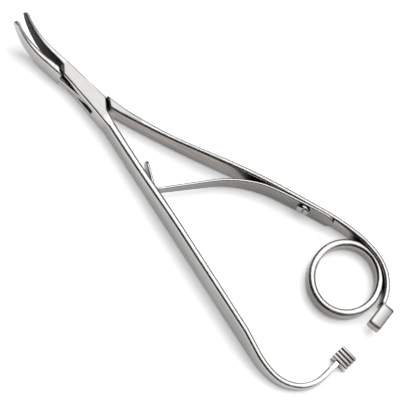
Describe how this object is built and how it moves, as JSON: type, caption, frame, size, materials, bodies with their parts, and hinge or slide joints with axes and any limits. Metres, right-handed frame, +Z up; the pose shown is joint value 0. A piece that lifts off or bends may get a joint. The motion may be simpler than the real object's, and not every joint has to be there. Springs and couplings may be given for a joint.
{
  "type": "needle holder",
  "caption": "Ring-handled surgical needle holder with a box lock, jaws curved upward and finely grooved, a ratchet with catch plate, one finger ring and a tapered leaf spring between the handles.",
  "frame": {"origin": "on the underside, straight below the middle of the box lock's pin, on the plane the instrument lies on", "axes": "+X from the lock toward the handles along the middle line between the two halves, +Y toward the half with the finger ring, +Z up from the plane it lies on, the way the jaws curve"},
  "size_m": [0.182, 0.0688, 0.0151],
  "materials": {
    "forging": "mirror-polished stainless steel",
    "ring": "mirror-polished stainless steel",
    "pin": "stainless steel, polished flush",
    "spring": "hardened stainless spring strip, fine lengthwise grain",
    "screw": "turned stainless steel"
  },
  "bodies": {
    "ratchet_side": {"ratchet_half": "forging", "lock_pin": "pin"},
    "ring_side": {"ring_half": "forging", "finger_ring": "ring", "leaf_spring": "spring", "spring_screw": "screw"}
  },
  "joints": [
    {"name": "box_lock", "type": "hinge", "parent": "ratchet_side", "child": "ring_side", "pos_m": [0, 0, 0], "axis": [0, 0, 1], "range_deg": [-7.3, 16], "stiffness_Nm_per_rad": 5.5, "deforming": ["leaf_spring"]}
  ]
}
